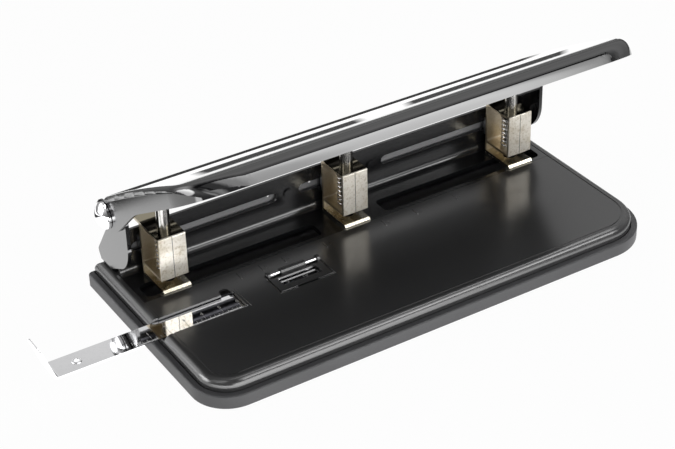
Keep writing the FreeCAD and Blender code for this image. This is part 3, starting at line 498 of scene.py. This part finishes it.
def dress_frame(dresser: Dresser) -> None:
    """Give every CAD node its finish.

    Args:
        dresser: Holder of the materials.
    """
    dresser.dress(Finish.LEVER_ENAMEL, ["lever", "bracket_left", "bracket_right"])
    dresser.dress(Finish.BASE_ENAMEL, ["base_plate", "guide_lock"])
    dresser.dress(Finish.RAIL_ENAMEL, ["punch_rail", "strip_rivets"])
    dresser.dress(Finish.TRAY, ["base_tray"])
    dresser.dress(Finish.STRIP, ["index_strip"])
    dresser.dress(Finish.ZINC, [f"slide_block_{head}" for head in HEAD_BODIES])
    dresser.dress(Finish.SCREW, ["bracket_screws"])
    dresser.dress(Finish.BLACK_STEEL, ["pivot_rod", "guide_track"])
    dresser.dress(Finish.CHROME, ["pivot_cap_left", "pivot_cap_right", "paper_guide",
                                  "guide_lock_pin"])
    for head in HEAD_BODIES:
        dresser.dress(Finish.NICKEL, [f"head_{head}"])
        dresser.dress(Finish.DIE, [f"die_{head}"])
        dresser.dress(Finish.TOOL_STEEL, [f"punch_{head}", f"clip_{head}", f"spring_{head}"])


# ---------------------------------------------------------------- fine pieces

class Workpiece:
    """A new mesh, shaped in edit mode and then hung on a body of the frame."""

    MERGE = 0.002 * MM
    RING_MERGE = 0.01 * MM
    RING_ROUNDING = 0.42
    RING_STEPS = 40
    CREASE_ANGLE = 35.0

    def __init__(self, name: str) -> None:
        """Start with an empty mesh of this name, alone and active.

        Args:
            name: The piece's name.
        """
        bpy.ops.object.select_all(action="DESELECT")
        self.thing = bpy.data.objects.new(name, bpy.data.meshes.new(name))
        bpy.context.scene.collection.objects.link(self.thing)
        self.thing.select_set(True)
        bpy.context.view_layer.objects.active = self.thing
        bpy.ops.object.mode_set(mode="EDIT")

    def bar(self, low: Triple, high: Triple, taper: float = 0.6) -> None:
        """Add a small bar whose top is drawn in, by a plane that is extruded and narrowed.

        Args:
            low: Lowest corner.
            high: Highest corner.
            taper: Width of the top against the foot, the short way.
        """
        bpy.ops.mesh.select_all(action="DESELECT")
        middle = tuple((a + b) / 2 for a, b in zip(low, high))
        foot = (middle[0], middle[1], low[2])
        size = (high[0] - low[0], high[1] - low[1])
        bpy.ops.mesh.primitive_plane_add(size=1.0, location=foot)
        bpy.ops.transform.resize(value=(size[0], size[1], 1.0), center_override=foot)
        lift = (0.0, 0.0, high[2] - low[2])
        bpy.ops.mesh.extrude_region_move(TRANSFORM_OT_translate={"value": lift})
        draw = min(size) * (1.0 - taper)
        top = (middle[0], middle[1], high[2])
        shrink = (1.0 - draw / size[0], 1.0 - draw / size[1], 1.0)
        bpy.ops.transform.resize(value=shrink, center_override=top)
        bpy.ops.mesh.select_linked()

    def ring(self, centre: Triple, inner: float, outer: float, height: float) -> None:
        """Add a rounded eyelet: a small section, bevelled and spun round an upright axis.

        The section is selected as a face when it is spun, so each step leaves that face inside
        the ring.

        Args:
            centre: Middle of its foot.
            inner: Hole radius.
            outer: Rim radius.
            height: Height of the rim.
        """
        bpy.ops.mesh.select_all(action="DESELECT")
        wide = outer - inner
        place = (centre[0] + inner + wide / 2, centre[1], centre[2] + height / 2)
        upright = (math.pi / 2, 0.0, 0.0)
        bpy.ops.mesh.primitive_plane_add(size=1.0, location=place, rotation=upright)
        bpy.ops.transform.resize(value=(wide, 1.0, height), center_override=place)
        rounding = min(wide, height) * self.RING_ROUNDING
        bpy.ops.mesh.bevel(offset=rounding, segments=3, affect="VERTICES")
        bpy.ops.mesh.select_all(action="SELECT")
        bpy.ops.mesh.spin(steps=self.RING_STEPS, angle=math.tau, center=centre,
                          axis=(0.0, 0.0, 1.0))
        bpy.ops.mesh.select_all(action="SELECT")
        bpy.ops.mesh.remove_doubles(threshold=self.RING_MERGE)
        bpy.ops.mesh.delete_loose()

    def numeral(self, text: str, place: Triple, size: float, height: float) -> None:
        """Add plain figures that lie flat, read from the front.

        Args:
            text: The figures.
            place: Middle of their foot.
            size: Height of the letters.
            height: How far they stand up.
        """
        bpy.ops.object.mode_set(mode="OBJECT")
        bpy.ops.object.select_all(action="DESELECT")
        bpy.ops.object.text_add(location=place)
        words = bpy.context.object
        words.data.body = text
        words.data.size = size
        words.data.extrude = height / 2
        words.data.resolution_u = 3
        words.data.align_x = "CENTER"
        words.data.align_y = "CENTER"
        bpy.ops.object.convert(target="MESH")
        words = bpy.context.object
        bpy.ops.object.transform_apply(location=True, rotation=True, scale=True)
        self.thing.select_set(True)
        bpy.context.view_layer.objects.active = self.thing
        bpy.ops.object.join()
        bpy.ops.object.mode_set(mode="EDIT")

    def copy(self, node: str) -> None:
        """Take the shape of a CAD node.

        Args:
            node: Its name.
        """
        bpy.ops.object.mode_set(mode="OBJECT")
        self.thing.data = frame["nodes"][node].data.copy()
        if self.thing.data.has_custom_normals:
            bpy.ops.mesh.customdata_custom_splitnormals_clear()
        bpy.ops.object.mode_set(mode="EDIT")

    def repeat(self, step: Triple, times: int) -> None:
        """Copy what is selected, again and again.

        Args:
            step: Shift from each copy to the next.
            times: Number of copies.
        """
        for _ in range(times):
            bpy.ops.mesh.duplicate_move(TRANSFORM_OT_translate={"value": step})

    def finish(self, material: bpy.types.Material, body: str, slot: str) -> None:
        """Merge doubles, turn the faces outwards, dress the mesh and hang it on its body.

        Args:
            material: Its finish.
            body: Body of the frame that carries it.
            slot: Material slot of the record; not used.
        """
        bpy.ops.mesh.select_all(action="SELECT")
        bpy.ops.mesh.remove_doubles(threshold=self.MERGE)
        bpy.ops.mesh.normals_make_consistent(inside=False)
        bpy.ops.object.mode_set(mode="OBJECT")
        bpy.ops.object.shade_smooth_by_angle(angle=math.radians(self.CREASE_ANGLE))
        self.thing.data.materials.clear()
        self.thing.data.materials.append(material)
        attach(self.thing, body)
        LOG.info("%s made, on %s", self.thing.name, body)


@dataclass
class GuideTrim:
    """Etched scale and eyelet of the sliding paper guide."""

    sheet: float = 1.1 * MM
    edge: float = 0.5 * MM
    pitch: float = 2.5 * MM
    line: float = 0.34 * MM
    short: float = 2.4 * MM
    long: float = 4.4 * MM
    rise: float = 0.03 * MM
    first: float = -147.0 * MM
    count: int = 44
    group: int = 4
    figure: float = 3.6 * MM
    figure_gap: float = 0.55
    eye: Pair = (-174.9 * MM, -4.7 * MM)
    eye_sink: float = 0.02 * MM
    eye_inner: float = 1.25 * MM
    eye_outer: float = 2.5 * MM
    eye_height: float = 0.35 * MM

    def build(self, dresser: Dresser) -> None:
        """Make the scale and the eyelet.

        Args:
            dresser: Holder of the materials.
        """
        low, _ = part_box("paper_guide")
        top = low[2] + self.sheet
        front = low[1] + self.edge
        scale = Workpiece("guide_scale")
        for length, every in ((self.short, 1), (self.long, self.group)):
            scale.bar((self.first, front, top - self.rise),
                      (self.first + self.line, front + length, top + self.rise))
            scale.repeat((self.pitch * every, 0.0, 0.0), self.count // every - 1)
        row = front + self.long + self.figure * self.figure_gap
        for number in range(1, self.count // self.group):
            x = self.first + self.pitch * self.group * number + self.line / 2
            scale.numeral(str(number), (x, row, top), self.figure, self.rise * 2)
        scale.finish(dresser.material(Finish.MARKS), "guide", "chrome")
        eyelet = Workpiece("guide_eyelet")
        foot = (*self.eye, top - self.eye_sink)
        eyelet.ring(foot, self.eye_inner, self.eye_outer, self.eye_height)
        eyelet.finish(dresser.material(Finish.CHROME), "guide", "chrome")


@dataclass
class PlateTrim:
    """Pressed marks along the trough, and the rolled rims of the recess and the window."""

    top: float = 13.4 * MM
    sink: float = 0.05 * MM
    rise: float = 0.16 * MM
    line: float = 0.55 * MM
    mark_front: float = 8.6 * MM
    mark_rear: float = 14.4 * MM
    places: tuple[float, ...] = (-76.5, -63.5, -50.0, -25.0, 12.0, 32.0, 58.0)
    figure: float = 3.8 * MM
    figure_aside: float = 0.75
    figure_up: float = 0.5
    taper: float = 0.35
    rim: float = 0.5 * MM
    recess_left: float = -118.0 * MM
    recess_right: float = -85.5 * MM
    recess_front: float = -13.0 * MM
    recess_rear: float = 2.0 * MM
    second_gap: float = 1.5 * MM
    second_spare: float = 1.0 * MM
    window_left: float = -65.6 * MM
    window_right: float = -34.0 * MM
    window_front: float = -13.7 * MM
    window_rear: float = 4.4 * MM

    def build(self, dresser: Dresser) -> None:
        """Make the marks and the rims.

        Args:
            dresser: Holder of the materials.
        """
        low, high = self.top - self.sink, self.top + self.rise
        marks = Workpiece("plate_marks")
        row = self.mark_front + self.figure * self.figure_up
        for number, place in enumerate(self.places, start=1):
            start = place * MM
            marks.bar((start, self.mark_front, low), (start + self.line, self.mark_rear, high),
                      self.taper)
            aside = start + self.figure * self.figure_aside
            marks.numeral(str(number), (aside, row, self.top), self.figure, self.rise)
        marks.finish(dresser.material(Finish.EDGE_ENAMEL), "base", "enamel")
        rims = Workpiece("plate_rims")
        right, front, rear = self.recess_right, self.recess_front, self.recess_rear
        second, spare = right + self.second_gap, self.second_spare
        bars = (
            (self.recess_left, right + self.rim, front - self.rim, front),
            (right, right + self.rim, front, rear),
            (second, second + self.line, front - spare, rear + spare),
            (self.window_right, self.window_right + self.rim, self.window_front, self.window_rear),
            (self.window_left - self.rim, self.window_left, self.window_front, self.window_rear),
        )
        for x0, x1, y0, y1 in bars:
            rims.bar((x0, y0, low), (x1, y1, high), self.taper)
        rims.finish(dresser.material(Finish.EDGE_ENAMEL), "base", "enamel")


@dataclass
class LockTrim:
    """Two bright turned-up lips at the front of the lock flap."""

    sheet: float = 0.35 * MM
    rise: float = 0.45 * MM
    sink: float = 0.05 * MM
    top: float = 13.4 * MM
    notch: float = 12.0 * MM
    taper: float = 0.7

    def build(self, dresser: Dresser) -> None:
        """Make the lips.

        Args:
            dresser: Holder of the materials.
        """
        low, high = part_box("guide_lock")
        middle = (low[0] + high[0]) / 2
        lips = Workpiece("lock_lips")
        for x0, x1 in ((low[0], middle - self.notch / 2), (middle + self.notch / 2, high[0])):
            lips.bar((x0, low[1], self.top - self.sink),
                     (x1, low[1] + self.sheet, self.top + self.rise), self.taper)
        lips.finish(dresser.material(Finish.CHROME), "lock", "chrome")


@dataclass
class ReturnSpring:
    """Coil spring that stands in its head, copied from the CAD spring; it is not made to shorten.
    """

    head: str
    body: str
    foot: float = 21.45 * MM
    stroke: float = 9.6 * MM

    def build(self, dresser: Dresser) -> None:
        """Put a copy of the coil in the place of the plain one.

        Args:
            dresser: Holder of the materials.
        """
        node = f"spring_{self.head}"
        coil = Workpiece(f"coil_{self.head}")
        coil.copy(node)
        coil.finish(dresser.material(Finish.TOOL_STEEL), self.body, "tool_steel")
        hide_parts(node)
        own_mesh(coil.thing)


@dataclass
class HeadTrim:
    """Painted shade: a dark strip laid in the scribed groove down the front of one punch head."""

    head: str
    body: str
    width: float = 0.34 * MM
    depth: float = 0.15 * MM
    film: float = 0.05 * MM
    foot_gap: float = 4.7 * MM
    top_gap: float = 0.4 * MM

    def build(self, dresser: Dresser) -> None:
        """Make the strip of painted shade in its groove.

        Args:
            dresser: Holder of the materials.
        """
        low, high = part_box(f"head_{self.head}")
        middle = (low[0] + high[0]) / 2
        back = low[1] + self.depth
        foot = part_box(f"die_{self.head}")[1][2] + self.foot_gap
        line = Workpiece(f"scribe_{self.head}")
        line.bar((middle - self.width / 2, back - self.film, foot),
                 (middle + self.width / 2, back, high[2] - self.top_gap))
        line.finish(dresser.material(Finish.GREASE), self.body, "nickel")


# ---------------------------------------------------------------- studio

class Rays(Enum):
    """Kinds of ray that a lamp answers to."""

    ALL = "all"
    DIFFUSE = "diffuse"


@dataclass(frozen=True)
class Softbox:
    """A rectangular lamp: its place, aim, size in metres, brightness and the rays it serves."""

    name: str
    place: Triple
    aim: Triple
    size: Pair
    brightness: float
    rays: Rays = Rays.ALL

    def build(self) -> None:
        """Hang the lamp."""
        data = bpy.data.lights.new(self.name, "AREA")
        data.shape = "RECTANGLE"
        data.size, data.size_y = self.size
        data.energy = self.brightness * math.pi * self.size[0] * self.size[1]
        lamp = bpy.data.objects.new(self.name, data)
        bpy.context.scene.collection.objects.link(lamp)
        look = (Vector(self.aim) - Vector(self.place)).to_track_quat("-Z", "Y")
        lamp.matrix_world = Matrix.Translation(Vector(self.place)) @ look.to_matrix().to_4x4()
        lamp.visible_glossy = self.rays is Rays.ALL


@dataclass(frozen=True)
class DarkStrip:
    """A dark strip on the floor behind the object, with slanting ends; only gloss sees it."""

    left: float
    right: float
    front: float = 0.193
    rear: float = 0.226
    slant: float = 0.6
    soft: float = 0.003
    soft_end: float = 0.009

    def mask(self, x: Wire, y: Wire) -> Wire:
        """One on the strip, zero elsewhere.

        Args:
            x: Place along the strip.
            y: Place across it.

        Returns:
            The mask.
        """
        along = x - (y - self.front) * self.slant
        ends = (along.ramp(self.left, self.left + self.soft_end)
                * along.ramp(self.right, self.right - self.soft_end))
        return (ends * y.ramp(self.front, self.front + self.soft)
                * y.ramp(self.rear, self.rear - self.soft))


@dataclass(frozen=True)
class SkyPanel:
    """A long bright diffuser overhead, seen by gloss alone, that fades and has one bar."""

    height: float = 1.20
    left: float = -0.86
    right: float = 1.12
    front: float = -0.20
    rear: float = 0.80
    crest: float = 0.38
    rear_fall: float = 0.27
    rear_soft: float = 0.06
    bar: Pair = (-0.75, -0.65)
    bar_soft: Pair = (0.02, 0.05)
    brightness: float = 6.0
    levels: tuple[Pair, ...] = (
        (-0.86, 0.04), (-0.18, 0.05), (0.0, 0.34), (0.20, 0.36), (0.35, 0.53), (0.45, 0.61),
        (0.52, 0.88), (0.64, 0.93), (0.74, 1.0), (0.81, 0.85), (0.88, 0.48), (1.08, 0.19),
        (1.12, 0.0),
    )

    def build(self) -> None:
        """Hang the panel."""
        bpy.ops.object.select_all(action="DESELECT")
        middle = ((self.left + self.right) / 2, (self.front + self.rear) / 2, self.height)
        bpy.ops.mesh.primitive_plane_add(size=1.0, location=middle)
        panel = bpy.context.object
        panel.name = "studio_panel"
        panel.scale = (self.right - self.left, self.rear - self.front, 1.0)
        bpy.ops.object.transform_apply(location=True, rotation=False, scale=True)
        g = Graph("panel_glow")
        x, y, _ = g.split()
        reach = self.right - self.left
        stops = [((at - self.left) / reach, (level,) * 3) for at, level in self.levels]
        along = x.ramp(self.left, self.right)
        level = g.node("ShaderNodeValToRGB", {"stops": stops}, {"Fac": along})["Color"]
        edge = self.rear - abs(x - self.crest) * self.rear_fall
        shape = (edge - y).ramp(0.0, self.rear_soft)
        (start, end), (rise, fall) = self.bar, self.bar_soft
        gap = x.ramp(start, start + rise) * x.ramp(end + fall, end)
        strength = shape * (1.0 - gap) * self.brightness
        inputs = {"Color": level, "Strength": strength}
        glow = g.node("ShaderNodeEmission", {}, inputs)["Emission"]
        g.tree.links.new(glow.socket, g.output.inputs["Surface"])
        panel.data.materials.append(g.material)
        panel.visible_camera = False
        panel.visible_diffuse = False
        panel.visible_shadow = False


@dataclass(frozen=True)
class SkyWindow:
    """A soft round patch of light in the sky, seen by gloss alone."""

    towards: Triple
    rim: Pair
    level: float

    def glow(self, g: Graph, way: Wire) -> Wire:
        """Light added in each direction.

        Args:
            g: The world's graph.
            way: The direction.

        Returns:
            The added level.
        """
        middle = tuple(Vector(self.towards).normalized())
        product = {"operation": "DOT_PRODUCT"}
        turn = g.node("ShaderNodeVectorMath", product, {0: way, 1: middle})["Value"]
        return turn.ramp(*self.rim, 0.0, self.level)


@dataclass
class Studio:
    """Floor, soft lamps, pale world and the camera."""

    target: Triple = (-0.027914, -0.00705, 0.03710)
    azimuth: float = -31.354
    elevation: float = 32.865
    roll: float = -1.602
    distance: float = 0.89667
    lens: float = 94.37
    clip_start: float = 0.05
    floor_size: float = 12.0
    floor_colour: Triple = (0.86, 0.86, 0.86)
    floor_white: float = 0.965
    card_rear: float = 0.243
    card_soft: float = 0.004
    line_front: Pair = (0.120, 0.130)
    line_rear: Pair = (0.173, 0.170)
    line_right: Pair = (0.235, 0.215)
    strip_depth: float = 0.97
    strips: tuple[DarkStrip, ...] = (DarkStrip(-0.022, 0.105), DarkStrip(0.133, 0.272))
    panel: SkyPanel = SkyPanel()
    floor_glow: float = 1.6
    front_left: float = 2.4
    front_left_from: tuple[Pair, Pair] = ((-0.05, -0.12), (0.22, -0.08))
    right_fade: float = 0.95
    right_fade_from: tuple[Pair, Pair] = ((0.12, 0.05), (0.12, 0.20))
    room_rear: float = 0.6
    room_floor: Pair = (0.17, 0.34)
    room_right: Pair = (0.25, 0.8)
    room_right_fade: float = 0.45
    shade_floor: float = 0.05
    front_sky: Pair = (-0.4, 0.1)
    front_level: float = 0.4
    sky: tuple[Pair, ...] = ((0.0, 0.34), (0.30, 0.50), (0.54, 0.80), (0.66, 0.45),
                             (0.74, 0.10), (0.86, 0.30))
    windows: tuple[SkyWindow, ...] = (SkyWindow((-0.87, 0.40, 0.22), (0.92, 0.95), 13.0),
                                      SkyWindow((-0.54, 0.70, 0.44), (0.92, 0.98), 2.0),
                                      SkyWindow((-0.52, -0.24, 0.82), (0.93, 0.98), 6.0),
                                      SkyWindow((0.44, -0.54, 0.72), (0.955, 0.985), 14.0))
    lamps: tuple[Softbox, ...] = (
        Softbox("softbox_front", (0.15, -1.25, 0.22), (0.0, 0.0, 0.04), (1.1, 0.45), 4.6),
        Softbox("soft_key", (-0.2, -0.2, 1.30), (0.0, 0.0, 0.0), (1.0, 1.0), 1.6, Rays.DIFFUSE),
    )

    def build(self) -> None:
        """Build everything round the object."""
        self.floor()
        self.panel.build()
        self.world()
        self.camera()
        for lamp in self.lamps:
            lamp.build()

    def floor(self) -> None:
        """Pale floor with a faint shadow; gloss sees it as a white card in a grey room."""
        bpy.ops.object.select_all(action="DESELECT")
        bpy.ops.mesh.primitive_plane_add(size=self.floor_size, location=(0.0, 0.0, 0.0))
        floor = bpy.context.object
        floor.name = "studio_floor"
        g = Graph("floor_white")
        seen = g.node("ShaderNodeLightPath", {}, {})
        x, y, _ = g.split()
        bare = g.node("ShaderNodeBsdfDiffuse", {}, {"Color": (*self.floor_colour, 1.0)})["BSDF"]
        white = {"Color": (1.0, 1.0, 1.0, 1.0), "Strength": 1.0}
        glow = g.node("ShaderNodeEmission", {}, white)["Emission"]
        on_card = y.ramp(self.card_rear + self.card_soft, self.card_rear)
        behind = y.ramp(*self.line_front) * y.ramp(*self.line_rear)
        shade = behind * x.ramp(*self.line_right)
        for strip in self.strips:
            shade = shade + strip.mask(x, y) * self.strip_depth
        room = y.ramp(self.card_rear, self.room_rear, *self.room_floor)
        deep, wide = self.front_left_from
        near = 1.0 + y.ramp(*deep) * x.ramp(*wide) * self.front_left
        deep, wide = self.right_fade_from
        near = near - y.ramp(*deep) * x.ramp(*wide) * self.right_fade
        room = room * (1.0 - x.ramp(*self.room_right) * self.room_right_fade)
        lit = on_card.ramp(0.0, 1.0, 0.0, self.floor_glow) * near + room * (1.0 - on_card)
        tone = lit * (1.0 - shade) + shade * self.shade_floor
        mirrored = g.node("ShaderNodeEmission", {}, {"Strength": tone})["Emission"]
        mixer = "ShaderNodeMixShader"
        plain = g.node(mixer, {}, {0: self.floor_white, 1: bare, 2: glow})["Shader"]
        both = g.node(mixer, {}, {0: seen["Is Camera Ray"], 1: bare, 2: plain})["Shader"]
        shiny = (seen["Is Glossy Ray"] + seen["Is Transmission Ray"]).clamped()
        final = g.node(mixer, {}, {0: shiny, 1: both, 2: mirrored})["Shader"]
        g.tree.links.new(final.socket, g.output.inputs["Surface"])
        floor.data.materials.append(g.material)

    def world(self) -> None:
        """White behind everything, and a grey room with a few windows for the reflections."""
        world = bpy.data.worlds.new("studio_world")
        bpy.context.scene.world = world
        g = Graph("studio_world", world)
        way = g.node("ShaderNodeTexCoord", {}, {})["Generated"]
        part = g.node("ShaderNodeSeparateXYZ", {}, {"Vector": way})
        seen = g.node("ShaderNodeLightPath", {}, {})
        stops = [(z, (level,) * 3) for z, level in self.sky]
        sky = g.node("ShaderNodeValToRGB", {"stops": stops}, {"Fac": part["Z"]})["Color"]
        level = part["Y"].ramp(*self.front_sky, self.front_level, 1.0)
        for window in self.windows:
            level = level + window.glow(g, way) * seen["Is Glossy Ray"]
        behind = "ShaderNodeBackground"
        room = g.node(behind, {}, {"Color": sky, "Strength": level})["Background"]
        white = g.node(behind, {}, {"Color": (1.0, 1.0, 1.0, 1.0)})["Background"]
        mixed = {0: seen["Is Camera Ray"], 1: room, 2: white}
        both = g.node("ShaderNodeMixShader", {}, mixed)["Shader"]
        g.tree.links.new(both.socket, g.output.inputs["Surface"])

    def camera(self) -> None:
        """Camera on its arc round the target."""
        a, e, r = (math.radians(v) for v in (self.azimuth, self.elevation, self.roll))
        back = Vector((math.sin(a) * math.cos(e), -math.cos(a) * math.cos(e), math.sin(e)))
        level = Vector((math.cos(a), math.sin(a), 0.0))
        upright = back.cross(level)
        right = level * math.cos(r) + upright * math.sin(r)
        up = back.cross(right)
        data = bpy.data.cameras.new("camera")
        data.lens = self.lens
        data.clip_start = self.clip_start
        camera = bpy.data.objects.new("camera", data)
        bpy.context.scene.collection.objects.link(camera)
        turn = Matrix((right, up, back)).transposed().to_4x4()
        place = Vector(self.target) + back * self.distance
        camera.matrix_world = Matrix.Translation(place) @ turn
        bpy.context.scene.camera = camera


def main() -> None:
    """Dress the frame, add the fine pieces and set up the studio."""
    logging.basicConfig(level=logging.INFO, format="%(message)s")
    scene = bpy.context.scene
    scene.view_settings.view_transform = "Standard"
    dresser = Dresser()
    dress_frame(dresser)
    trims = [GuideTrim(), PlateTrim(), LockTrim()]
    for head, body in HEAD_BODIES.items():
        trims += [HeadTrim(head, body), ReturnSpring(head, body)]
    for trim in trims:
        trim.build(dresser)
    Studio().build()


if __name__ == "__main__":
    main()
